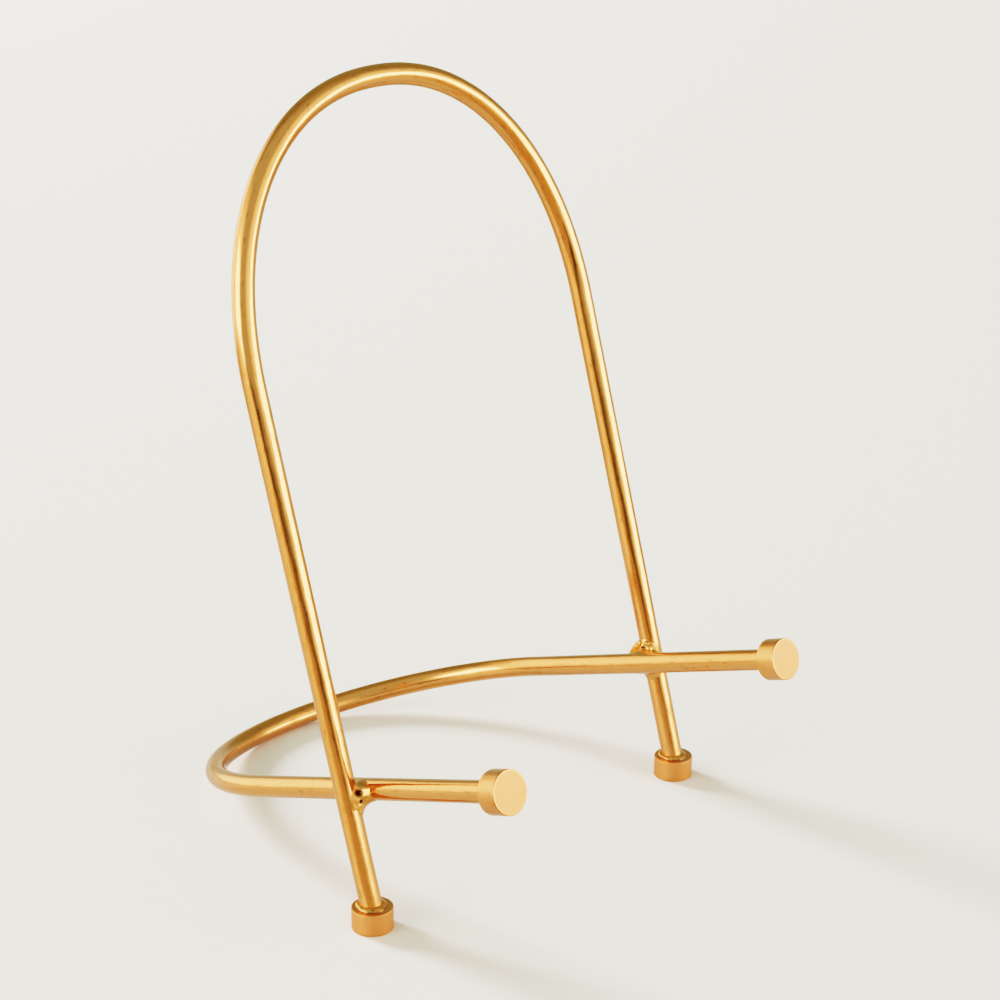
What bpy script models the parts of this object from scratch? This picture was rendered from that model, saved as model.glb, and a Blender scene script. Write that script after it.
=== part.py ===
"""Display easel: two bent brass rods, four turned discs and the welds that join them.

Units are metres, +Z is up and the easel faces -Y. The origin is on the table,
at the middle of the box that the easel fills. It stands on the two feet of the
arch and on the lowest point of the base loop, behind.
"""
import math

import bmesh
import bpy
from mathutils import Vector

# Driving dimensions.
ROD_DIAMETER = 0.008

LEG_SPACING = 0.165  # between the axes of the two legs
LEAN = math.radians(16.1)  # of the arch, from the vertical towards the back
ARCH_LENGTH = 0.289  # along the lean, from the table to the rod's axis at the top
ARCH_BEND_LENGTH = 0.0965  # the bent head's share of that length
ARCH_FULLNESS = 2.16  # exponent of the bend: 2 is an ellipse, more is squarer

LOOP_TILT = math.radians(18.5)  # of the base loop, rising towards the front
ARM_REACH = 0.0745  # from the crossing to the stop's front face
LOOP_STRAIGHT = 0.0591  # from the crossing back to where the loop starts to bend
LOOP_BEND_DEPTH = 0.0772  # from there to the loop's last point

FOOT_DIAMETER = 0.015
FOOT_HEIGHT = 0.0083
FOOT_AXIS_DEPTH = 0.0017  # below the foot's top, where its axis meets the leg's

STOP_DIAMETER = 0.0156
STOP_THICKNESS = 0.0079

SOCKET_DEPTH = 0.0045  # how far a rod goes into a foot or a stop
EDGE_BREAK = 0.0003  # turned chamfer on the discs' edges

FOOT_BEAD_WIDTH = 0.0013  # weld round a leg, outwards from the rod
FOOT_BEAD_HEIGHT = 0.0014
CROSSING_BEAD_REACH = 0.0034  # weld at a crossing, outwards from the rods
CROSSING_BEAD_THICKNESS = 0.0052

PART_GAP = 0.0003  # clearance between neighbouring pieces

# Facets.
ROD_SIDES = 16
DISC_SIDES = 32
ARCH_BEND_STEPS = 40
LOOP_BEND_STEPS = 36
BEAD_STEPS = 4
CROSSING_BEAD_RINGS = 10

# Sizes that follow from the driving dimensions.
ROD_RADIUS = ROD_DIAMETER / 2
LEG_X = LEG_SPACING / 2
ARM_X = LEG_X - ROD_DIAMETER - PART_GAP  # the arms run along the legs' inner sides
CROSSING_Z = ROD_RADIUS + (LOOP_STRAIGHT + LOOP_BEND_DEPTH) * math.sin(LOOP_TILT)
CROSSING_Y = CROSSING_Z * math.tan(LEAN)

# Directions in the plane that halves the easel.
LEG_UP = Vector((0, math.sin(LEAN), math.cos(LEAN)))
ARCH_NORMAL = Vector((0, -math.cos(LEAN), math.sin(LEAN)))
ARM_FORWARD = Vector((0, -math.cos(LOOP_TILT), math.sin(LOOP_TILT)))
LOOP_NORMAL = Vector((0, math.sin(LOOP_TILT), math.cos(LOOP_TILT)))
SIDEWAYS = Vector((1, 0, 0))

# The legs' axes meet the table on one line, which the origin's place sets.
FRONT_Y = (
    CROSSING_Y
    - ARM_REACH * math.cos(LOOP_TILT)
    - (STOP_DIAMETER / 2 - EDGE_BREAK) * math.sin(LOOP_TILT)
)
BACK_Y = CROSSING_Y + (LOOP_STRAIGHT + LOOP_BEND_DEPTH) * math.cos(LOOP_TILT) + ROD_RADIUS
LEG_LINE_Y = -(FRONT_Y + BACK_Y) / 2


def remove_all_objects():
    for leftover in list(bpy.data.objects):
        bpy.data.objects.remove(leftover, do_unlink=True)


def brass(name, colour, roughness):
    material = bpy.data.materials.new(name)
    material.use_nodes = True
    shader = material.node_tree.nodes["Principled BSDF"]
    shader.inputs["Base Color"].default_value = (*colour, 1)
    shader.inputs["Metallic"].default_value = 1.0
    shader.inputs["Roughness"].default_value = roughness
    return material


def add_object(name, mesh_data, material=None):
    """Put a finished bmesh in the scene as an object with smooth round sides."""
    bmesh.ops.recalc_face_normals(mesh_data, faces=mesh_data.faces)
    mesh = bpy.data.meshes.new(name)
    mesh_data.to_mesh(mesh)
    mesh_data.free()
    mesh.shade_smooth()
    mesh.set_sharp_from_angle(angle=math.radians(35))
    piece = bpy.data.objects.new(name, mesh)
    bpy.context.collection.objects.link(piece)
    if material is not None:
        mesh.materials.append(material)
    return piece


def cut(piece, cutter):
    """Take the cutter's shape out of a piece and keep the cutter out of the build."""
    cutter.hide_render = True
    cutter.display_type = "WIRE"
    boolean = piece.modifiers.new("Cut " + cutter.name, "BOOLEAN")
    boolean.operation = "DIFFERENCE"
    boolean.solver = "EXACT"
    boolean.object = cutter


def bend(half_width, depth, fullness, steps):
    """Half a superellipse from (-half_width, 0) over (0, depth) to (half_width, 0),
    as steps of equal length.
    """
    dense = 40 * steps
    power = 2 / fullness
    curve = []
    for i in range(dense + 1):
        angle = math.pi * i / dense
        across = math.copysign(abs(math.cos(angle)) ** power, -math.cos(angle))
        along = abs(math.sin(angle)) ** power
        curve.append(Vector((half_width * across, depth * along)))
    travelled = [0.0]
    for start, end in zip(curve, curve[1:]):
        travelled.append(travelled[-1] + (end - start).length)
    points = []
    for i in range(steps + 1):
        wanted = travelled[-1] * i / steps
        nearest = min(range(dense + 1), key=lambda k: abs(travelled[k] - wanted))
        points.append(curve[nearest])
    return points


def rod(name, path, normal, radius, turn=0.0, material=None):
    """Sweep a round bar along a path that lies in the plane square to normal.
    turn rotates the bar's facets round its axis.
    """
    mesh_data = bmesh.new()
    rings = []
    for i, point in enumerate(path):
        before = path[max(i - 1, 0)]
        after = path[min(i + 1, len(path) - 1)]
        along = (after - before).normalized()
        outward = along.cross(normal)
        ring = []
        for k in range(ROD_SIDES):
            angle = turn + 2 * math.pi * k / ROD_SIDES
            offset = outward * math.cos(angle) + normal * math.sin(angle)
            ring.append(mesh_data.verts.new(point + offset * radius))
        rings.append(ring)
    for ring, following in zip(rings, rings[1:]):
        for k in range(ROD_SIDES):
            m = (k + 1) % ROD_SIDES
            mesh_data.faces.new((ring[k], ring[m], following[m], following[k]))
    mesh_data.faces.new(rings[0])
    mesh_data.faces.new(rings[-1])
    return add_object(name, mesh_data, material)


def turned(name, profile, sides, base, axis, first, material):
    """Turn a profile of (radius, height) points, from pole to pole, round an axis that
    starts at base. The direction called first is square to it and has a facet's corner.
    """
    second = axis.cross(first)
    mesh_data = bmesh.new()
    rings = []
    for radius, height in profile:
        centre = base + axis * height
        if radius == 0:
            rings.append([mesh_data.verts.new(centre)])
            continue
        ring = []
        for k in range(sides):
            angle = 2 * math.pi * k / sides
            spoke = first * math.cos(angle) + second * math.sin(angle)
            ring.append(mesh_data.verts.new(centre + spoke * radius))
        rings.append(ring)
    for ring, following in zip(rings, rings[1:]):
        for k in range(sides):
            m = (k + 1) % sides
            if len(ring) == 1:
                mesh_data.faces.new((ring[0], following[k], following[m]))
            elif len(following) == 1:
                mesh_data.faces.new((ring[k], ring[m], following[0]))
            else:
                mesh_data.faces.new((ring[k], ring[m], following[m], following[k]))
    return add_object(name, mesh_data, material)


def disc_profile(radius, height):
    """A plain disc with its two edges broken."""
    return [
        (0, 0),
        (radius - EDGE_BREAK, 0),
        (radius, EDGE_BREAK),
        (radius, height - EDGE_BREAK),
        (radius - EDGE_BREAK, height),
        (0, height),
    ]


def on_leg(side, height_along_lean):
    """A point on a leg's axis. side is -1 for the left leg and 1 for the right."""
    foot = Vector((side * LEG_X, LEG_LINE_Y, 0))
    return foot + LEG_UP * height_along_lean


def on_arm(side, reach):
    """A point on an arm's axis, ahead of the crossing by reach."""
    crossing = Vector((side * ARM_X, LEG_LINE_Y + CROSSING_Y, CROSSING_Z))
    return crossing + ARM_FORWARD * reach


FOOT_TOP_ALONG_LEG = FOOT_HEIGHT / math.cos(LEAN)
LEG_END = FOOT_TOP_ALONG_LEG - SOCKET_DEPTH
STOP_BACK = ARM_REACH - STOP_THICKNESS
ARM_END = STOP_BACK + SOCKET_DEPTH


def build_arch(material):
    """The back rest: one rod, up the left leg, over the head and down the right."""
    bend_start = ARCH_LENGTH - ARCH_BEND_LENGTH
    path = [on_leg(-1, LEG_END)]
    for across, along in bend(LEG_X, ARCH_BEND_LENGTH, ARCH_FULLNESS, ARCH_BEND_STEPS):
        middle = Vector((across, LEG_LINE_Y, 0))
        path.append(middle + LEG_UP * (bend_start + along))
    path.append(on_leg(1, LEG_END))
    rod("back_arch", path, ARCH_NORMAL, ROD_RADIUS, LEAN, material)


def build_loop(material):
    """The base: one rod, from the left stop back, round behind and forward again."""
    path = [on_arm(-1, ARM_END)]
    for across, along in bend(ARM_X, LOOP_BEND_DEPTH, 2, LOOP_BEND_STEPS):
        middle = Vector((across, LEG_LINE_Y + CROSSING_Y, CROSSING_Z))
        path.append(middle - ARM_FORWARD * (LOOP_STRAIGHT + along))
    path.append(on_arm(1, ARM_END))
    rod("base_loop", path, LOOP_NORMAL, ROD_RADIUS, LOOP_TILT, material)


def leg_cutter(name, side, low, high):
    """A leg with clearance, run the way the arch runs, so that their facets line up."""
    ends = [on_leg(side, low), on_leg(side, high)]
    if side > 0:
        ends.reverse()
    return rod(name, ends, ARCH_NORMAL, ROD_RADIUS + PART_GAP, LEAN)


def arm_cutter(name, side, back, front):
    """An arm with clearance, run the way the loop runs, so that their facets line up."""
    ends = [on_arm(side, back), on_arm(side, front)]
    if side < 0:
        ends.reverse()
    return rod(name, ends, LOOP_NORMAL, ROD_RADIUS + PART_GAP, LOOP_TILT)


def build_foot(label, side, disc_material, bead_material):
    """A turned foot with a blind slanting socket, and the weld bead round the leg."""
    axis_y = LEG_LINE_Y + (FOOT_HEIGHT - FOOT_AXIS_DEPTH) * math.tan(LEAN)
    base = Vector((side * LEG_X, axis_y, 0))
    up = Vector((0, 0, 1))
    profile = disc_profile(FOOT_DIAMETER / 2, FOOT_HEIGHT)
    foot = turned(label + "_foot", profile, DISC_SIDES, base, up, SIDEWAYS, disc_material)

    # The bead's section is a quarter of an ellipse on the foot's top.
    outer = ROD_RADIUS / math.cos(LEAN) + FOOT_BEAD_WIDTH
    bead_profile = [(0, 0)]
    for i in range(BEAD_STEPS + 1):
        angle = math.pi / 2 * i / BEAD_STEPS
        radius = outer - FOOT_BEAD_WIDTH * (1 - math.cos(angle))
        bead_profile.append((radius, FOOT_BEAD_HEIGHT * math.sin(angle)))
    bead_profile.append((0, FOOT_BEAD_HEIGHT))
    seat = on_leg(side, FOOT_TOP_ALONG_LEG) + up * PART_GAP
    name = label + "_foot_weld"
    bead = turned(name, bead_profile, DISC_SIDES, seat, up, SIDEWAYS, bead_material)

    above = FOOT_TOP_ALONG_LEG + 4 * FOOT_BEAD_HEIGHT
    below = LEG_END - PART_GAP
    cutter = leg_cutter(label + "_leg_cutter", side, below, above)
    cut(foot, cutter)
    cut(bead, cutter)


def build_stop(label, side, material):
    """A turned stop with a blind socket in its back."""
    profile = disc_profile(STOP_DIAMETER / 2, STOP_THICKNESS)
    back = on_arm(side, STOP_BACK)
    name = label + "_stop"
    stop = turned(name, profile, DISC_SIDES, back, ARM_FORWARD, SIDEWAYS, material)
    behind = STOP_BACK - STOP_THICKNESS
    socket_end = ARM_END + PART_GAP
    cut(stop, arm_cutter(label + "_arm_cutter", side, behind, socket_end))


def build_crossing_weld(label, side, material):
    """Weld metal in the corners where an arm touches the inner side of its leg: a lens
    that faces sideways, less the two rods.
    """
    reach = ROD_RADIUS + CROSSING_BEAD_REACH
    half = CROSSING_BEAD_THICKNESS / 2
    profile = [(0, -half)]
    for i in range(1, CROSSING_BEAD_RINGS):
        angle = math.pi * i / CROSSING_BEAD_RINGS
        profile.append((reach * math.sin(angle), -half * math.cos(angle)))
    profile.append((0, half))
    between = (LEG_X + ARM_X) / 2
    centre = Vector((side * between, LEG_LINE_Y + CROSSING_Y, CROSSING_Z))
    name = label + "_crossing_weld"
    bead = turned(name, profile, DISC_SIDES, centre, SIDEWAYS, LOOP_NORMAL, material)
    at_crossing = CROSSING_Z / math.cos(LEAN)
    span = 2 * reach
    low, high = at_crossing - span, at_crossing + span
    cut(bead, leg_cutter(label + "_crossing_leg_cutter", side, low, high))
    cut(bead, arm_cutter(label + "_crossing_arm_cutter", side, -span, span))


def build_easel():
    rod_brass = brass("Satin brass rod", (0.66, 0.38, 0.09), 0.3)
    disc_brass = brass("Turned brass disc", (0.72, 0.45, 0.14), 0.35)
    bead_brass = brass("Brass weld", (0.62, 0.36, 0.1), 0.22)
    build_arch(rod_brass)
    build_loop(rod_brass)
    for label, side in (("left", -1), ("right", 1)):
        build_foot(label, side, disc_brass, bead_brass)
        build_stop(label, side, disc_brass)
        build_crossing_weld(label, side, bead_brass)


remove_all_objects()
build_easel()
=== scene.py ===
"""The looks of a brass display easel: two bent bars, four turned discs and their welds."""
import math

import bmesh
import bpy
from mathutils import Matrix, Vector, noise


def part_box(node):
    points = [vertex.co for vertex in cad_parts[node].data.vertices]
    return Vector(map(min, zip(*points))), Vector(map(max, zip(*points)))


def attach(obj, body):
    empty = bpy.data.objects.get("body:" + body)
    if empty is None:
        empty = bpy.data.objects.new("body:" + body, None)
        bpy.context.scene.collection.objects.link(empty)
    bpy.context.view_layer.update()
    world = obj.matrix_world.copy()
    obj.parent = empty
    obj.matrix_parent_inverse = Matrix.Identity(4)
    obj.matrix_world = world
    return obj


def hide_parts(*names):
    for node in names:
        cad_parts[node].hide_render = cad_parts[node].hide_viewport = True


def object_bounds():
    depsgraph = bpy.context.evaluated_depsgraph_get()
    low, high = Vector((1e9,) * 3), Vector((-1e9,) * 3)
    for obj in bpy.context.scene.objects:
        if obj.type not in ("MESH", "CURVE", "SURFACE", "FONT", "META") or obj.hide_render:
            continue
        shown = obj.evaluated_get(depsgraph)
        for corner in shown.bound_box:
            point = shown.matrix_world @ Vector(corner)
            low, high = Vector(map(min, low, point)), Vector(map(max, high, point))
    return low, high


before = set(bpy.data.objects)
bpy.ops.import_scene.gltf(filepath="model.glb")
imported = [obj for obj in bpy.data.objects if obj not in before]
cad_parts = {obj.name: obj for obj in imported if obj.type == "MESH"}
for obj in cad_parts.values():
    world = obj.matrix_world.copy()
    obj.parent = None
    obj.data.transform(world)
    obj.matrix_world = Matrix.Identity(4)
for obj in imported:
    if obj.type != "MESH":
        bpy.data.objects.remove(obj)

cad_low, cad_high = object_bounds()

# ---------------------------------------------------------------------------------------
# Back arch.
# One round brass bar, bent cold round a former into a tall arch that leans back, and
# brushed along its length. Its two ends sit in the feet.
# ---------------------------------------------------------------------------------------
BAR_RADIUS = 0.004
BAR_SIDES = 48
PATH_STEP = 0.0012  # between the points that a bar is drawn through
LEAN = math.radians(16.1)
LEG_MEETS_FOOT = 0.0017  # below the foot's top face
LEG_END = 0.0025  # how far the bar goes on below that point
ARCH_BEND_LENGTH = 0.0965
ARCH_FULLNESS = 2.16  # 2 is an ellipse, more is squarer
# How far the weld's brown tint, partly heat tint and partly painted shade, reaches.
ARCH_HEAT_AND_SHADE_REACHES = (0.045, 0.018)  # along the left leg and along the right leg

ACROSS = Vector((1, 0, 0))
LEG_UP = Vector((0, math.sin(LEAN), math.cos(LEAN)))


def middle_of(node):
    low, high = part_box(node)
    return (low + high) / 2


def bend_line(half_width, depth, fullness):
    """Half a superellipse over a span, drawn finely from its left end to its right end."""
    steps = 1200
    line = []
    for i in range(steps + 1):
        angle = math.pi * i / steps
        across = abs(math.cos(angle)) ** (2 / fullness)
        along = abs(math.sin(angle)) ** (2 / fullness)
        line.append(Vector((math.copysign(across, -math.cos(angle)) * half_width, along * depth)))
    return line


def even_steps(line, step):
    """The same line with its points a step apart."""
    travelled = [0.0]
    for a, b in zip(line, line[1:]):
        travelled.append(travelled[-1] + (b - a).length)
    count = round(travelled[-1] / step)
    points = []
    k = 0
    for i in range(count + 1):
        wanted = travelled[-1] * i / count
        while k < len(line) - 2 and travelled[k + 1] < wanted:
            k += 1
        share = (wanted - travelled[k]) / (travelled[k + 1] - travelled[k])
        points.append(line[k].lerp(line[k + 1], share))
    return points


def skin_between(mesh_data, ring, following):
    """Faces between two rings of vertices, either of which may be a single point."""
    count = max(len(ring), len(following))
    for k in range(count):
        beside = (k + 1) % count
        if len(ring) == 1:
            corners = (ring[0], following[beside], following[k])
        elif len(following) == 1:
            corners = (ring[k], ring[beside], following[0])
        else:
            corners = (ring[k], ring[beside], following[beside], following[k])
        mesh_data.faces.new(corners)


def new_piece(name, mesh_data, material, slot, *nodes):
    """Turn a finished bmesh into a smooth piece that stands for CAD nodes."""
    bmesh.ops.recalc_face_normals(mesh_data, faces=mesh_data.faces)
    mesh = bpy.data.meshes.new(name)
    mesh_data.to_mesh(mesh)
    mesh_data.free()
    for face in mesh.polygons:
        face.use_smooth = True
    mesh.materials.append(material)
    piece = bpy.data.objects.new(name, mesh)
    bpy.context.scene.collection.objects.link(piece)
    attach(piece, "root")
    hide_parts(*nodes)
    return piece


def bent_bar(path, normal, welds, heat_and_shade_reaches):
    """A round bar along a path in the plane square to normal. Two attributes carry the
    finish: 'brushed' is the place on the bar in metres, unrolled along its length, and
    the other is a brown tint near the nearer weld, most on the side that faces it: partly
    the tint that welding heat leaves, partly painted shade where the bars face each other.
    The welds, and how far the tint reaches, are given left one first.
    """
    left_weld, right_weld = welds
    left_reach, right_reach = heat_and_shade_reaches
    bar = bmesh.new()
    brushed = bar.verts.layers.float_vector.new("brushed")
    heat = bar.verts.layers.float.new("heat")
    rings = []
    along_bar = 0.0
    for i, point in enumerate(path):
        before = path[max(i - 1, 0)]
        after = path[min(i + 1, len(path) - 1)]
        if i:
            along_bar += (point - before).length
        tangent = (after - before).normalized()
        outward = tangent.cross(normal)
        to_weld = (left_weld if point.x < 0 else right_weld) - point
        reach = left_reach if point.x < 0 else right_reach
        closeness = math.exp(-((to_weld.length / reach) ** 2))
        to_weld -= tangent * to_weld.dot(tangent)
        to_weld.normalize()
        ring = []
        for k in range(BAR_SIDES):
            angle = 2 * math.pi * k / BAR_SIDES
            offset = outward * math.cos(angle) + normal * math.sin(angle)
            vert = bar.verts.new(point + offset * BAR_RADIUS)
            vert[brushed] = Vector((math.cos(angle), math.sin(angle), 0)) * BAR_RADIUS
            vert[brushed].z = along_bar
            # The side that faces the weld gets the most tint: painted shade between the two bars.
            facing = max(offset.dot(to_weld), 0)
            vert[heat] = closeness * math.sqrt(facing)
            ring.append(vert)
        rings.append(ring)
    for ring, following in zip(rings, rings[1:]):
        skin_between(bar, ring, following)
    bar.faces.new(rings[0])
    bar.faces.new(rings[-1])
    return bar


def paint(code):
    """An sRGB hex colour as the linear colour that a shader takes."""
    channels = [int(code[i:i + 2], 16) / 255 for i in (1, 3, 5)]
    linear = [c / 12.92 if c <= 0.04045 else ((c + 0.055) / 1.055) ** 2.4 for c in channels]
    return (*linear, 1.0)


def add_node(material, kind, settings=None, links=None):
    """Add a node. Settings are its sockets' values or its own options; links are what
    feeds its sockets.
    """
    tree = material.node_tree
    node = tree.nodes.new(kind)
    for name, value in (settings or {}).items():
        if isinstance(name, int) or name in node.inputs:
            node.inputs[name].default_value = value
        else:
            setattr(node, name, value)
    for name, source in (links or {}).items():
        tree.links.new(source, node.inputs[name])
    return node


def new_finish(name, **settings):
    """A material with its shader, whose settings are the same all over the piece."""
    finish = bpy.data.materials.new(name)
    finish.use_nodes = True
    shader = finish.node_tree.nodes["Principled BSDF"]
    for socket, value in settings.items():
        shader.inputs[socket.replace("_", " ")].default_value = value
    return finish, shader


# Brushed, clear-lacquered brass. The eye gets a deep gold with soft bright bands along
# the bar, fine streaks in them from the brushing, and brown freckles of tarnish.
brushed_brass, shader = new_finish("brushed lacquered brass", Metallic=1.0, Coat_Weight=0.5,
                                   Coat_Roughness=0.1)
place = add_node(brushed_brass, "ShaderNodeAttribute", {"attribute_name": "brushed"})
# Brushing marks are some 0.05 mm wide: drawn 0.4 mm wide and 50 mm long, so they show.
marks_size = add_node(brushed_brass, "ShaderNodeMapping", {"Scale": (2500, 2500, 20)},
                      {"Vector": place.outputs["Vector"]})
marks = add_node(brushed_brass, "ShaderNodeTexNoise", {"Scale": 1.0, "Detail": 3.0},
                 {"Vector": marks_size.outputs["Vector"]})
# Tarnish comes in specks about 1 mm wide and 3 mm long.
specks_size = add_node(brushed_brass, "ShaderNodeMapping", {"Scale": (900, 900, 280)},
                       {"Vector": place.outputs["Vector"]})
specks = add_node(brushed_brass, "ShaderNodeTexNoise", {"Scale": 1.0, "Detail": 4.0,
                  "Roughness": 0.65}, {"Vector": specks_size.outputs["Vector"]})
tarnish = add_node(brushed_brass, "ShaderNodeMapRange", {"From Min": 0.55, "From Max": 0.72,
                   "To Min": 0.0, "To Max": 0.5}, {"Value": specks.outputs["Fac"]})
gold = add_node(brushed_brass, "ShaderNodeMix", {"data_type": "RGBA", 6: paint("#EAA065"),
                7: paint("#F6AC75")}, {0: marks.outputs["Fac"]})
stained = add_node(brushed_brass, "ShaderNodeMix", {"data_type": "RGBA", 7: paint("#6B5224")},
                   {0: tarnish.outputs["Result"], 6: gold.outputs[2]})
# Welding heat leaves a dull brown tint, uneven, on the sides of the bars round a bead.
# Part of it is painted shade, strongest on the sides where the bars face each other.
heat = add_node(brushed_brass, "ShaderNodeAttribute", {"attribute_name": "heat"})
uneven = add_node(brushed_brass, "ShaderNodeMapRange", {"From Min": 0.35, "From Max": 0.6,
                  "To Min": 0.8, "To Max": 1.0}, {"Value": specks.outputs["Fac"]})
scorch_and_shade = add_node(brushed_brass, "ShaderNodeMath", {"operation": "MULTIPLY"},
                  {0: heat.outputs["Fac"], 1: uneven.outputs["Result"]})
scorched_and_shaded = add_node(brushed_brass, "ShaderNodeMix", {"data_type": "RGBA",
                    7: paint("#94805A")}, {0: scorch_and_shade.outputs[0], 6: stained.outputs[2]})
satin = add_node(brushed_brass, "ShaderNodeMapRange", {"From Min": 0.3, "From Max": 0.7,
                 "To Min": 0.12, "To Max": 0.2}, {"Value": marks.outputs["Fac"]})
dulled = add_node(brushed_brass, "ShaderNodeMath", {"operation": "MULTIPLY_ADD", 1: 0.2},
                  {0: scorch_and_shade.outputs[0], 2: satin.outputs["Result"]})
# Bending and polishing leave the bar about 0.1 mm out of true, in waves 15 mm long.
waves_size = add_node(brushed_brass, "ShaderNodeMapping", {"Scale": (210, 210, 70)},
                      {"Vector": place.outputs["Vector"]})
waves = add_node(brushed_brass, "ShaderNodeTexNoise", {"Scale": 1.0, "Detail": 1.0},
                 {"Vector": waves_size.outputs["Vector"]})
wavy = add_node(brushed_brass, "ShaderNodeBump", {"Strength": 1.0, "Distance": 0.00022},
                {"Height": waves.outputs["Fac"]})
relief = add_node(brushed_brass, "ShaderNodeBump", {"Strength": 0.35, "Distance": 0.00004},
                  {"Height": marks.outputs["Fac"], "Normal": wavy.outputs["Normal"]})
brushed_brass.node_tree.links.new(scorched_and_shaded.outputs[2], shader.inputs["Base Color"])
brushed_brass.node_tree.links.new(dulled.outputs[0], shader.inputs["Roughness"])
brushed_brass.node_tree.links.new(relief.outputs["Normal"], shader.inputs["Normal"])

left_foot = middle_of("left_foot")
right_foot = middle_of("right_foot")
foot_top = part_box("left_foot")[1].z
leg_root = Vector(((left_foot.x + right_foot.x) / 2, left_foot.y, foot_top - LEG_MEETS_FOOT))
leg_x = (right_foot.x - left_foot.x) / 2
arch_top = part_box("back_arch")[1].z - BAR_RADIUS
arch_length = (arch_top - leg_root.z) / LEG_UP.z

crossing = middle_of("left_crossing_weld")
crossing_x = (middle_of("right_crossing_weld").x - crossing.x) / 2
weld_spots = [Vector((side * crossing_x, crossing.y, crossing.z)) for side in (-1, 1)]

outline = bend_line(leg_x, ARCH_BEND_LENGTH, ARCH_FULLNESS)
straight = arch_length - ARCH_BEND_LENGTH
outline = [point + Vector((0, straight)) for point in outline]
outline = [Vector((-leg_x, -LEG_END))] + outline + [Vector((leg_x, -LEG_END))]
path = [leg_root + ACROSS * p.x + LEG_UP * p.y for p in even_steps(outline, PATH_STEP)]
new_piece("arch_bar", bent_bar(path, ACROSS.cross(LEG_UP), weld_spots, ARCH_HEAT_AND_SHADE_REACHES),
          brushed_brass, "rod_brass", "back_arch")

# ---------------------------------------------------------------------------------------
# Feet.
# Two short discs turned from brass bar, with their edges just broken, that stand flat on
# the table. Each holds an end of the arch.
# ---------------------------------------------------------------------------------------
FOOT_RADIUS = 0.0075
FOOT_SIDE_SATIN = 0.26
# The top faces of the feet are painted darker: painted shade.
FOOT_TOP_SHADE = 0.9
UPRIGHT = Vector((0, 0, 1))


def turned_disc(base, axis, radius, height, face_satin=0.0, side_satin=0.0, top_shade=0.0):
    """A disc turned about an axis from base. The attribute 'turned' holds, in this order,
    the radius in metres, how much more satin the surface is there, and the height in
    metres; the other attribute says how much the top face is painted darker, as painted
    shade.
    """
    sides = 128
    edge = 0.0003  # radius of the broken edge
    edge_steps = 6
    wall_steps = 8
    face_steps = 14
    face = [radius * 0.98 * i / face_steps for i in range(face_steps)]
    face_end = 0.92 * radius
    shaded_top_end = 0.97 * radius
    rim = []
    for i in range(edge_steps + 1):
        angle = math.pi / 2 * i / edge_steps
        rim.append((radius - edge + edge * math.sin(angle), edge - edge * math.cos(angle)))
    profile = [(r, 0.0) for r in face]
    profile += rim
    profile += [(radius, edge + (height - 2 * edge) * i / wall_steps) for i in range(1, wall_steps)]
    profile += [(r, height - h) for r, h in reversed(rim)]
    profile += [(r, height) for r in reversed(face)]
    first = axis.orthogonal().normalized()
    second = axis.cross(first)
    disc = bmesh.new()
    turned = disc.verts.layers.float_vector.new("turned")
    heat = disc.verts.layers.float.new("heat")
    rings = []
    for r, h in profile:
        ring = []
        for k in range(sides if r > 0 else 1):
            angle = 2 * math.pi * k / sides
            spoke = first * math.cos(angle) + second * math.sin(angle)
            vert = disc.verts.new(base + spoke * r + axis * h)
            vert[turned] = Vector((r, face_satin if r < face_end else side_satin, h))
            # The top face, short of its rim, is painted darker: painted shade.
            vert[heat] = top_shade if h == height and r < shaded_top_end else 0.0
            ring.append(vert)
        rings.append(ring)
    for ring, following in zip(rings, rings[1:]):
        skin_between(disc, ring, following)
    return disc


# Turned, clear-lacquered brass. The eye gets a soft even gold face with faint rings from
# the lathe tool, and a bright line on the broken edges.
turned_brass, shader = new_finish("turned lacquered brass", Metallic=1.0, Coat_Weight=0.5,
                                  Coat_Roughness=0.15)
place = add_node(turned_brass, "ShaderNodeAttribute", {"attribute_name": "turned"})
parts = add_node(turned_brass, "ShaderNodeSeparateXYZ", {}, {0: place.outputs["Vector"]})
# Tool marks are some 0.1 mm apart: drawn 0.35 mm apart on the faces and 0.7 mm apart on
# the sides, so they show.
face_marks = add_node(turned_brass, "ShaderNodeMath", {"operation": "MULTIPLY", 1: 2900.0},
                      {0: parts.outputs["X"]})
side_marks = add_node(turned_brass, "ShaderNodeMath", {"operation": "MULTIPLY", 1: 1500.0},
                      {0: parts.outputs["Z"]})
tool_path = add_node(turned_brass, "ShaderNodeMath", {"operation": "ADD"},
                     {0: face_marks.outputs[0], 1: side_marks.outputs[0]})
tool_marks = add_node(turned_brass, "ShaderNodeTexNoise", {"noise_dimensions": "1D",
                      "Scale": 1.0, "Detail": 2.0}, {"W": tool_path.outputs[0]})
surface = add_node(turned_brass, "ShaderNodeNewGeometry")
# Handling leaves the gold a little uneven, in patches about 4 mm across.
handling = add_node(turned_brass, "ShaderNodeTexNoise", {"Scale": 260.0, "Detail": 4.0},
                    {"Vector": surface.outputs["Position"]})
gold = add_node(turned_brass, "ShaderNodeMix", {"data_type": "RGBA", 6: paint("#E89E66"),
                7: paint("#F6AC79")}, {0: handling.outputs["Fac"]})
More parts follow.
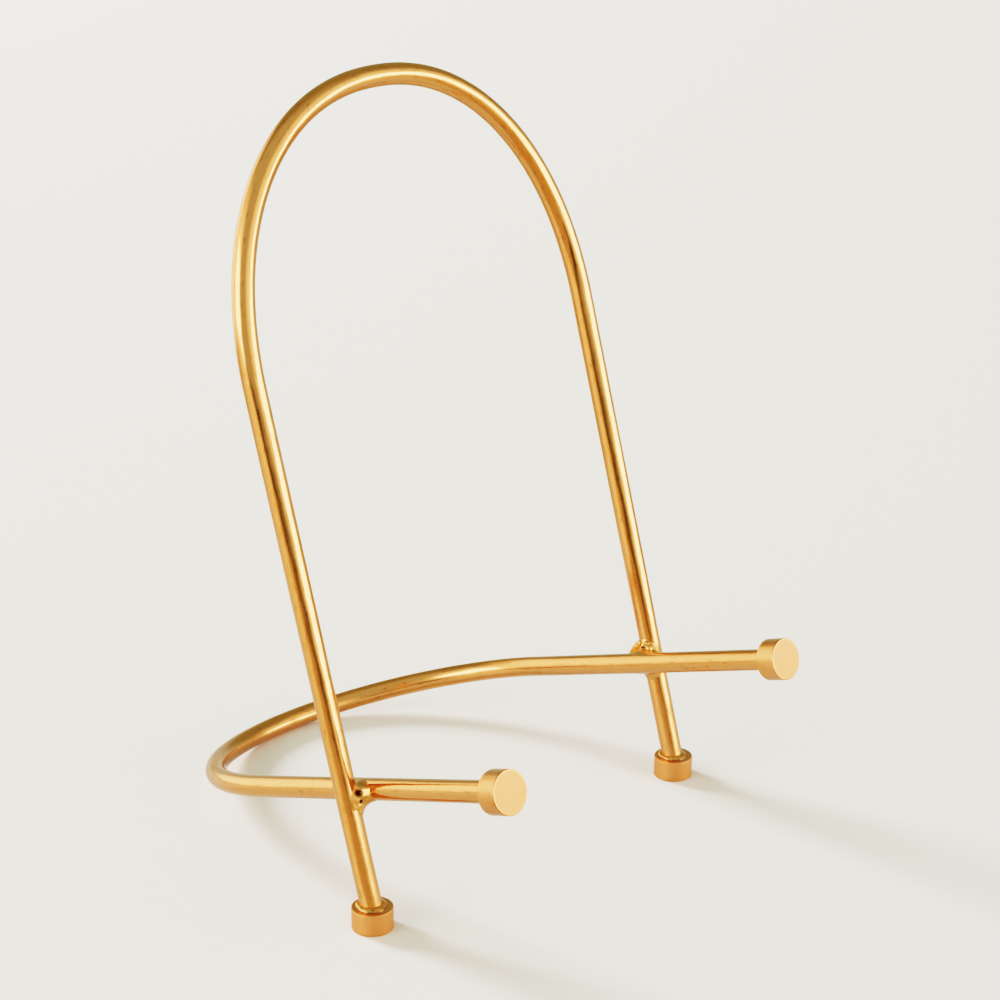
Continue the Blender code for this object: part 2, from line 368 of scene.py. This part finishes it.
# The tops of the feet are painted a darker olive: painted shade.
heat = add_node(turned_brass, "ShaderNodeAttribute", {"attribute_name": "heat"})
shaded_top = add_node(turned_brass, "ShaderNodeMix", {"data_type": "RGBA", 7: paint("#8C7444")},
                  {0: heat.outputs["Fac"], 6: gold.outputs[2]})
soft_marks = add_node(turned_brass, "ShaderNodeMapRange", {"From Min": 0.3, "From Max": 0.7,
                      "To Min": 0.26, "To Max": 0.34}, {"Value": tool_marks.outputs["Fac"]})
soft = add_node(turned_brass, "ShaderNodeMath", {"operation": "ADD"},
                {0: soft_marks.outputs["Result"], 1: parts.outputs["Y"]})
relief = add_node(turned_brass, "ShaderNodeBump", {"Strength": 0.12, "Distance": 0.00003},
                  {"Height": tool_marks.outputs["Fac"]})
turned_brass.node_tree.links.new(shaded_top.outputs[2], shader.inputs["Base Color"])
turned_brass.node_tree.links.new(soft.outputs[0], shader.inputs["Roughness"])
turned_brass.node_tree.links.new(relief.outputs["Normal"], shader.inputs["Normal"])

for label, middle in (("left", left_foot), ("right", right_foot)):
    base = Vector((middle.x, middle.y, 0))
    disc = turned_disc(base, UPRIGHT, FOOT_RADIUS, foot_top, side_satin=FOOT_SIDE_SATIN,
                       top_shade=FOOT_TOP_SHADE)
    new_piece(label + "_foot_disc", disc, turned_brass, "disc_brass", label + "_foot")

# ---------------------------------------------------------------------------------------
# Foot welds.
# A bead of weld metal run round each leg where it enters its foot, lumpy from being laid
# by hand, and left glossy under the lacquer. The left one has a pinhole in it, painted
# black as painted shade.
# ---------------------------------------------------------------------------------------
BEAD_WIDTH = 0.0016
BEAD_HEIGHT = 0.0013
BEAD_SLOPE = 1.2  # 1 is a quarter round, 2 is a straight slope
BEAD_IN_LEG = 0.0006  # how far its hidden side runs into the leg and into the foot
BEAD_IN_FOOT = 0.0002
PINHOLE_DEGREES = 6.0  # from its middle to its edge, round the leg and up it
PINHOLE_HEIGHT = 0.00015
PINHOLE_UP = 0.0008  # from the foot's top face
LEFT_PINHOLE_AT = 232  # degrees round the leg

# Brass weld metal, lacquered as laid. The eye gets a wet gold gloss that breaks into
# glints on the ripples, with brown scale in the hollows, and painted shade in black in
# the blow-holes and where a bead meets its foot.
weld_brass, shader = new_finish("weld brass", Metallic=1.0, Coat_Weight=0.5,
                                Coat_Roughness=0.1)
surface = add_node(weld_brass, "ShaderNodeNewGeometry")
# Scale lies in patches about 1 mm across.
scale_patches = add_node(weld_brass, "ShaderNodeTexNoise", {"Scale": 900.0, "Detail": 4.0,
                         "Roughness": 0.6}, {"Vector": surface.outputs["Position"]})
scale_share = add_node(weld_brass, "ShaderNodeMapRange", {"From Min": 0.56, "From Max": 0.72,
                       "To Min": 0.0, "To Max": 0.4}, {"Value": scale_patches.outputs["Fac"]})
hollow = add_node(weld_brass, "ShaderNodeMapRange", {"From Min": 0.5, "From Max": 0.42,
                  "To Min": 0.0, "To Max": 0.6}, {"Value": surface.outputs["Pointiness"]})
brown_share = add_node(weld_brass, "ShaderNodeMath", {"operation": "MAXIMUM"},
                       {0: scale_share.outputs[0], 1: hollow.outputs[0]})
scaled = add_node(weld_brass, "ShaderNodeMix", {"data_type": "RGBA", 6: paint("#E8AA6C"),
                  7: paint("#6E5226")}, {0: brown_share.outputs[0]})
# Black in the blow-holes and where a bead meets its foot: painted shade.
painted_shade = add_node(weld_brass, "ShaderNodeAttribute", {"attribute_name": "painted_shade"})
shade_blackened = add_node(weld_brass, "ShaderNodeMix", {"data_type": "RGBA", 7: paint("#0B0806")},
                     {0: painted_shade.outputs["Fac"], 6: scaled.outputs[2]})
wet = add_node(weld_brass, "ShaderNodeMapRange", {"From Min": 0.35, "From Max": 0.7,
               "To Min": 0.24, "To Max": 0.4}, {"Value": scale_patches.outputs["Fac"]})
# The weld pool set in ripples just under 1 mm apart.
ripples = add_node(weld_brass, "ShaderNodeTexNoise", {"Scale": 1300.0, "Detail": 2.0},
                   {"Vector": surface.outputs["Position"]})
relief = add_node(weld_brass, "ShaderNodeBump", {"Strength": 0.4, "Distance": 0.00006},
                  {"Height": ripples.outputs["Fac"]})
weld_brass.node_tree.links.new(shade_blackened.outputs[2], shader.inputs["Base Color"])
weld_brass.node_tree.links.new(wet.outputs["Result"], shader.inputs["Roughness"])
weld_brass.node_tree.links.new(relief.outputs["Normal"], shader.inputs["Normal"])


def foot_bead(root, seed, pinhole_at=None):
    """A closed bead round the leg that stands at root. Its attribute marks where it is
    painted black as painted shade: its pinhole, if it has one, and the line where it meets
    the foot.
    """
    steps = 120
    section_steps = 12
    bead = bmesh.new()
    painted_shade = bead.verts.layers.float.new("painted_shade")
    forward = LEG_UP.cross(ACROSS)
    rings = []
    for i in range(steps):
        angle = 2 * math.pi * i / steps
        spoke = ACROSS * math.cos(angle) + forward * math.sin(angle)
        round_leg = Vector((math.cos(angle), math.sin(angle), 0))
        lump = noise.noise(round_leg * 1.7 + Vector((seed, 0, 0)))
        grow = 1.0 + 0.3 * lump + 0.03 * math.sin(angle * 9 + 9 * lump)
        width = BEAD_WIDTH * grow
        height = BEAD_HEIGHT * grow
        corners = []
        for k in range(section_steps + 1):
            turn = math.pi / 2 * k / section_steps
            corners.append((width * math.sin(turn) ** BEAD_SLOPE,
                            height * math.cos(turn) ** BEAD_SLOPE))
        corners.append((width, -BEAD_IN_FOOT))
        corners.append((-BEAD_IN_LEG, -BEAD_IN_FOOT))
        corners.append((-BEAD_IN_LEG, height * 0.9))
        leg_side = root + spoke * BAR_RADIUS
        ring = []
        for out, up in corners:
            on_foot = leg_side + spoke * out
            rise = (foot_top + up - on_foot.z) / LEG_UP.z
            vert = bead.verts.new(on_foot + LEG_UP * rise)
            # Black low down where the bead meets the foot, and in the pinhole: painted shade.
            vert[painted_shade] = 0.8 * max(1 - max(up, 0) / (0.5 * BEAD_HEIGHT), 0)
            if pinhole_at is not None:
                off = math.hypot((math.degrees(angle) - pinhole_at) / PINHOLE_DEGREES,
                                 (up - PINHOLE_UP) / PINHOLE_HEIGHT)
                vert[painted_shade] = max(vert[painted_shade], math.exp(-off * off))
            ring.append(vert)
        rings.append(ring)
    for ring, following in zip(rings, rings[1:] + rings[:1]):
        skin_between(bead, ring, following)
    return bead


for label, side, pinhole_at in (("left", -1, LEFT_PINHOLE_AT), ("right", 1, None)):
    root = leg_root + ACROSS * side * leg_x
    bead = foot_bead(root, side * 3.1, pinhole_at)
    new_piece(label + "_foot_weld_bead", bead, weld_brass, "weld_brass", label + "_foot_weld")

# ---------------------------------------------------------------------------------------
# Base loop.
# The second bar, bent to a wide U that lies inside the legs. It rises to the front, where
# its two arms end in the stops, and its back rests on the table.
# ---------------------------------------------------------------------------------------
LOOP_TILT = math.radians(18.5)
LOOP_BEND_DEPTH = 0.0772
LOOP_FULLNESS = 2.0
# How far the weld's brown tint, partly heat tint and partly painted shade, reaches.
LOOP_HEAT_AND_SHADE_REACHES = (0.018, 0.012)  # along the left arm and along the right arm

ARM_FORWARD = Vector((0, -math.cos(LOOP_TILT), math.sin(LOOP_TILT)))
left_stop = middle_of("left_stop")
right_stop = middle_of("right_stop")
arm_x = (right_stop.x - left_stop.x) / 2
loop_low, loop_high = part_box("base_loop")
loop_back = Vector((0, loop_high.y - BAR_RADIUS, loop_low.z + BAR_RADIUS))
arm_length = (Vector((0, left_stop.y, left_stop.z)) - loop_back).dot(ARM_FORWARD)
straight = arm_length - LOOP_BEND_DEPTH
bend_start = loop_back + ARM_FORWARD * LOOP_BEND_DEPTH
outline = bend_line(arm_x, LOOP_BEND_DEPTH, LOOP_FULLNESS)
outline = [Vector((-arm_x, -straight))] + outline + [Vector((arm_x, -straight))]
path = [bend_start + ACROSS * p.x - ARM_FORWARD * p.y for p in even_steps(outline, PATH_STEP)]
new_piece("loop_bar", bent_bar(path, ACROSS.cross(ARM_FORWARD), weld_spots, LOOP_HEAT_AND_SHADE_REACHES),
          brushed_brass, "rod_brass", "base_loop")

# ---------------------------------------------------------------------------------------
# Stops.
# Two more turned discs, on the front ends of the arms, that keep a plate or a book from
# sliding off.
# ---------------------------------------------------------------------------------------
STOP_RADIUS = 0.0078
STOP_THICKNESS = 0.0079
STOP_FACE_SATIN = 0.26
for label, middle in (("left", left_stop), ("right", right_stop)):
    base = middle - ARM_FORWARD * STOP_THICKNESS / 2
    disc = turned_disc(base, ARM_FORWARD, STOP_RADIUS, STOP_THICKNESS, face_satin=STOP_FACE_SATIN)
    new_piece(label + "_stop_disc", disc, turned_brass, "disc_brass", label + "_stop")

# ---------------------------------------------------------------------------------------
# Crossing welds.
# Weld metal run into the corners where each arm touches the inner side of its leg. It is
# laid by hand in short lumpy beads, with a blow-hole or two, and not dressed afterwards.
# ---------------------------------------------------------------------------------------
MM = 0.001
# These are in millimetres, from the spot where the two bars touch.
WELD_REACH = 8.2
WELD_REACH_VARIES = 0.8
WELD_SINKS = 0.15  # below the bars' own surface, away from the corner
BELOW_ENDS = -1.0  # up the leg, the corner's filling changes from its width below
ABOVE_STARTS = 4.0  # to its width above
SEARCH_FROM = 9.4
SEARCH_STEP = 0.25
ROPE_STEPS = 40
ROPE_SIDES = 32


def crossing_weld(label, spot, side, above, below, ropes, holes):
    """Weld metal round the spot where leg and arm touch. It is as far out from the spot,
    in every direction, as the melted corner between the two bars reaches; above and below
    say how wide that corner is filled. Ropes are beads laid on top, as (up, forward,
    radius) at both ends, and holes are (across, up, forward, radius), all in millimetres.
    """
    bar = BAR_RADIUS / MM
    to_leg = side * (leg_x - abs(spot.x)) / MM
    to_arm = side * (arm_x - abs(spot.x)) / MM

    def inside(point, reach):
        """Whether a point, in millimetres from the spot, lies in the weld metal. The more
        alike its distances from the two bars are, the more the corner is filled.
        """
        x, up, forward = point
        from_leg = math.hypot(x - to_leg, forward) - bar
        from_arm = math.hypot(x - to_arm, up) - bar
        risen = min(max((up - BELOW_ENDS) / (ABOVE_STARTS - BELOW_ENDS), 0), 1)
        blend = below + (above - below) * risen
        near = max(blend - abs(from_leg - from_arm), 0) / blend
        melted = min(from_leg, from_arm) - near * near * blend / 4 + WELD_SINKS
        return melted <= 0 and math.sqrt(x * x + up * up + forward * forward) <= reach

    weld = bmesh.new()
    painted_shade = weld.verts.layers.float.new("painted_shade")
    bmesh.ops.create_icosphere(weld, subdivisions=6, radius=1.0)
    for vert in weld.verts:
        ray = vert.co.copy()
        lumps = noise.fractal(ray * 3.2 + spot * 300, 0.6, 2.0, 3)
        reach = WELD_REACH + WELD_REACH_VARIES * lumps
        low = SEARCH_FROM
        while low > 1.0 and not inside((ray.x * low, ray.y * low, ray.z * low), reach):
            low -= SEARCH_STEP
        high = low + SEARCH_STEP
        for _ in range(6):
            mid = (low + high) / 2
            if inside((ray.x * mid, ray.y * mid, ray.z * mid), reach):
                low = mid
            else:
                high = mid
        out = low * (1 + 0.015 * noise.noise(ray * 6 + spot * 500))
        for *centre, radius in holes:
            off = (ray * out - Vector(centre)).length / radius
            out -= 0.9 * radius * math.exp(-(off ** 4))
            # Each hole is painted black as well as sunk: painted shade.
            vert[painted_shade] = max(vert[painted_shade], math.exp(-((off / 0.95) ** 6)))
        vert.co = ray * out
    for up, forward, radius, end_up, end_forward, end_radius in ropes:
        start = Vector((0, up, forward))
        run = Vector((0, end_up - up, end_forward - forward))
        side_of_run = ACROSS.cross(run).normalized()
        rings = []
        for i in range(ROPE_STEPS + 1):
            share = i / ROPE_STEPS
            girth = radius + (end_radius - radius) * share
            thick = girth * (1 - abs(2 * share - 1) ** 3.5) ** 0.5
            at = start + run * share
            ring = []
            for k in range(ROPE_SIDES):
                angle = 2 * math.pi * k / ROPE_SIDES
                spoke = ACROSS * math.cos(angle) + side_of_run * math.sin(angle)
                lumpy = 1 + 0.2 * noise.noise((at + spoke * girth) * 0.9 + spot * 700)
                lumpy += 0.03 * math.sin(share * run.length * 6 + 2 * math.sin(angle))
                ring.append(weld.verts.new(at + spoke * max(thick, 0.01) * lumpy))
            rings.append(ring)
        for ring, following in zip(rings, rings[1:]):
            skin_between(weld, ring, following)
        weld.faces.new(rings[0])
        weld.faces.new(rings[-1])
    for vert in weld.verts:
        across, up, forward = vert.co * MM
        vert.co = spot + ACROSS * across + LEG_UP * up + ARM_FORWARD * forward
    new_piece(label + "_crossing_weld_bead", weld, weld_brass, "weld_brass",
              label + "_crossing_weld")


crossing_weld("left", weld_spots[0], -1, above=5.5, below=9.0, ropes=[],
              holes=[(-2.5, 1.0, 5.7, 1.55), (-2.5, -2.6, 5.3, 0.8)])
crossing_weld("right", weld_spots[1], 1, above=8.0, below=8.0,
              ropes=[(2.4, -8.6, 0.8, 7.8, -0.3, 1.6), (4.4, 1.6, 1.5, 5.2, 4.2, 1.6),
                     (7.4, 1.0, 0.9, 6.2, 3.2, 1.0)], holes=[(-0.8, 6.2, 0.6, 0.8)])

# ---------------------------------------------------------------------------------------
# Studio.
# A plain pale floor and backdrop, two large soft windows, at the left and to the right of
# the front, and a smaller light behind that throws the shadows forward. The three lights
# stand well outside the floor, so that it is lit evenly.
# ---------------------------------------------------------------------------------------
STAGE_RADIUS = 2.6
STAGE_SIDES = 96


def stage_piece(name, mesh_data, finish):
    mesh = bpy.data.meshes.new(name)
    mesh_data.to_mesh(mesh)
    mesh_data.free()
    mesh.materials.append(finish)
    stage = bpy.data.objects.new(name, mesh)
    bpy.context.scene.collection.objects.link(stage)
    return stage


floor_finish, _ = new_finish("matt pale floor", Base_Color=paint("#EDEEF0"), Roughness=0.95,
                             Specular_IOR_Level=0.1)
floor_mesh = bmesh.new()
bmesh.ops.create_circle(floor_mesh, cap_ends=True, segments=STAGE_SIDES, radius=STAGE_RADIUS)
floor = stage_piece("floor", floor_mesh, floor_finish)
floor.visible_glossy = False

# The backdrop shines by itself, so that it is the same pale tone all round.
backdrop_finish, _ = new_finish("plain backdrop", Base_Color=paint("#000000"), Roughness=1.0,
                                Specular_IOR_Level=0.0, Emission_Color=paint("#F3EFE8"),
                                Emission_Strength=1.05)
backdrop_mesh = bmesh.new()
foot_ring = []
head_ring = []
for k in range(STAGE_SIDES):
    angle = 2 * math.pi * k / STAGE_SIDES
    spoke = Vector((math.cos(angle), math.sin(angle), 0)) * STAGE_RADIUS
    foot_ring.append(backdrop_mesh.verts.new(spoke))
    head_ring.append(backdrop_mesh.verts.new(spoke + Vector((0, 0, STAGE_RADIUS))))
skin_between(backdrop_mesh, foot_ring, head_ring)
backdrop = stage_piece("backdrop", backdrop_mesh, backdrop_finish)
backdrop.visible_glossy = False
backdrop.visible_diffuse = False
backdrop.visible_shadow = False

# What the metal mirrors of the table is a pale runner on warm brown wood. Only reflections
# see these two, so that the floor itself stays plain. Both also glow by themselves, which
# is painted light. Near and far are how far behind the easel's middle their long edges run.
RUNNER_TURN = math.radians(-35.2)
for name, code, polish, painted_glow, near, far, half_length, lift in (
        ("mirrored_wood", "#CDB08A", 0.6, 0.36, -3.0, 0.5, 3.0, 0.0),
        ("mirrored_runner", "#AFACA5", 0.8, 0.22, -0.117, 0.183, 1.6, 0.0004)):
    finish, _ = new_finish(name, Base_Color=paint(code), Roughness=0.4,
                           Specular_IOR_Level=polish, Emission_Color=paint(code),
                           Emission_Strength=painted_glow)
    card = bmesh.new()
    corners = []
    for along, away in ((-half_length, near), (half_length, near), (half_length, far),
                        (-half_length, far)):
        x = along * math.cos(RUNNER_TURN) - away * math.sin(RUNNER_TURN)
        y = along * math.sin(RUNNER_TURN) + away * math.cos(RUNNER_TURN)
        corners.append(card.verts.new((x, y, lift)))
    card.faces.new(corners)
    mirrored = stage_piece(name, card, finish)
    mirrored.visible_camera = False
    mirrored.visible_diffuse = False
    mirrored.visible_shadow = False

LAMPS_AIM_AT = Vector((0, 0, 0.13))
WINDOW_LIGHT = "#FFE4CC"
KEY_LIGHT = "#FFFAF2"


def look_from(around, above):
    """The directions to the right, up and back of something that looks at the easel.
    Around is in degrees from the front towards the right; above is from level.
    """
    turn = math.radians(around)
    lift = math.radians(above)
    flat = math.cos(lift)
    back = Vector((math.sin(turn) * flat, -math.cos(turn) * flat, math.sin(lift)))
    right = Vector((math.cos(turn), math.sin(turn), 0))
    return right, back.cross(right), back


def soft_light(name, around, above, distance, size, power, colour):
    width, height = size
    lamp = bpy.data.lights.new(name, "AREA")
    lamp.shape = "RECTANGLE"
    lamp.size = width
    lamp.size_y = height
    lamp.energy = power
    lamp.color = paint(colour)[:3]
    holder = bpy.data.objects.new(name, lamp)
    bpy.context.scene.collection.objects.link(holder)
    right, up, back = look_from(around, above)
    stand = Matrix((right, up, back)).transposed().to_4x4()
    stand.translation = LAMPS_AIM_AT + back * distance
    holder.matrix_world = stand
    holder.visible_camera = False
    return holder


soft_light("left window", around=-103, above=19, distance=6.0, size=(4.0, 3.0), power=144,
           colour=WINDOW_LIGHT)
soft_light("front window", around=31, above=5, distance=6.0, size=(5.4, 1.8), power=144,
           colour=WINDOW_LIGHT)
key = soft_light("back key", around=-173, above=23, distance=8.0, size=(2.2, 2.2), power=1040,
                 colour=KEY_LIGHT)
key.visible_glossy = False

# The room that the metal mirrors: plain walls with a warmer one at the back right, the
# glow round the windows and the light behind, and a dim strip low down at the front left.
ROOM = (0.49, 0.54, 0.42, 1.0)
WARM_WALL = (0.27, 0.30, 0.18, 1.0)
GLOW = (2.5, 1.9, 1.4, 1.0)
DIM_ROOM = (0.06, 0.08, 0.05, 1.0)
world = bpy.data.worlds.new("room")
bpy.context.scene.world = world
world.use_nodes = True
facing = add_node(world, "ShaderNodeTexCoord")
parts = add_node(world, "ShaderNodeSeparateXYZ", {}, {0: facing.outputs["Generated"]})


def share_towards(around, above, start, full, most=1.0):
    """How far a direction lies towards a given one, from 0 at start to most at full, both
    cosines.
    """
    toward = look_from(around, above)[2]
    likeness = add_node(world, "ShaderNodeVectorMath", {"operation": "DOT_PRODUCT", 1: toward},
                        {0: facing.outputs["Generated"]})
    return add_node(world, "ShaderNodeMapRange", {"interpolation_type": "SMOOTHSTEP",
                    "From Min": start, "From Max": full, "To Max": most},
                    {"Value": likeness.outputs["Value"]})


def share_of_height(start, full):
    """How far up a direction points, from 0 at start to 1 at full, both sines."""
    return add_node(world, "ShaderNodeMapRange", {"interpolation_type": "SMOOTHSTEP",
                    "From Min": start, "From Max": full}, {"Value": parts.outputs["Z"]})


wall_share = add_node(world, "ShaderNodeMath", {"operation": "MULTIPLY"},
                      {0: share_towards(134, 25, 0.3, 0.75).outputs[0],
                       1: share_of_height(0.05, 0.35).outputs[0]})
room = add_node(world, "ShaderNodeMix", {"data_type": "RGBA", 6: ROOM, 7: WARM_WALL},
                {0: wall_share.outputs[0]})
for around, above, start, most in ((-112, 13, 0.68, 0.75), (24, 5, 0.62, 0.6),
                                   (-166, 7, 0.80, 0.95)):
    glow_share = share_towards(around, above, start, 1.0, most)
    room = add_node(world, "ShaderNodeMix", {"data_type": "RGBA", 7: GLOW},
                    {0: glow_share.outputs[0], 6: room.outputs[2]})
low_down = add_node(world, "ShaderNodeMath", {"operation": "MULTIPLY"},
                    {0: share_of_height(-0.2, -0.1).outputs[0],
                     1: share_of_height(0.12, 0.05).outputs[0]})
strip_share = add_node(world, "ShaderNodeMath", {"operation": "MULTIPLY"},
                       {0: low_down.outputs[0],
                        1: share_towards(-50, -2, 0.78, 0.93).outputs[0]})
room = add_node(world, "ShaderNodeMix", {"data_type": "RGBA", 7: DIM_ROOM},
                {0: strip_share.outputs[0], 6: room.outputs[2]})
world.node_tree.links.new(room.outputs[2], world.node_tree.nodes["Background"].inputs["Color"])

bpy.context.scene.view_settings.view_transform = "Filmic"
bpy.context.scene.view_settings.look = "Very High Contrast"

# The camera stands to the left of the front and looks down on the easel.
CAMERA_DISTANCE = 0.88422
AIM_FROM_MIDDLE = Vector((-0.00145, -0.02671, -0.04469))
right, up, back = look_from(-46.4, 22.72)
camera_data = bpy.data.cameras.new("camera")
camera_data.lens = 87.375
camera_data.sensor_width = 36.0
camera_data.shift_y = 0.1
camera = bpy.data.objects.new("camera", camera_data)
bpy.context.scene.collection.objects.link(camera)
stand = Matrix((right, up, back)).transposed().to_4x4()
stand.translation = (cad_low + cad_high) / 2 + AIM_FROM_MIDDLE + back * CAMERA_DISTANCE
camera.matrix_world = stand
bpy.context.scene.camera = camera
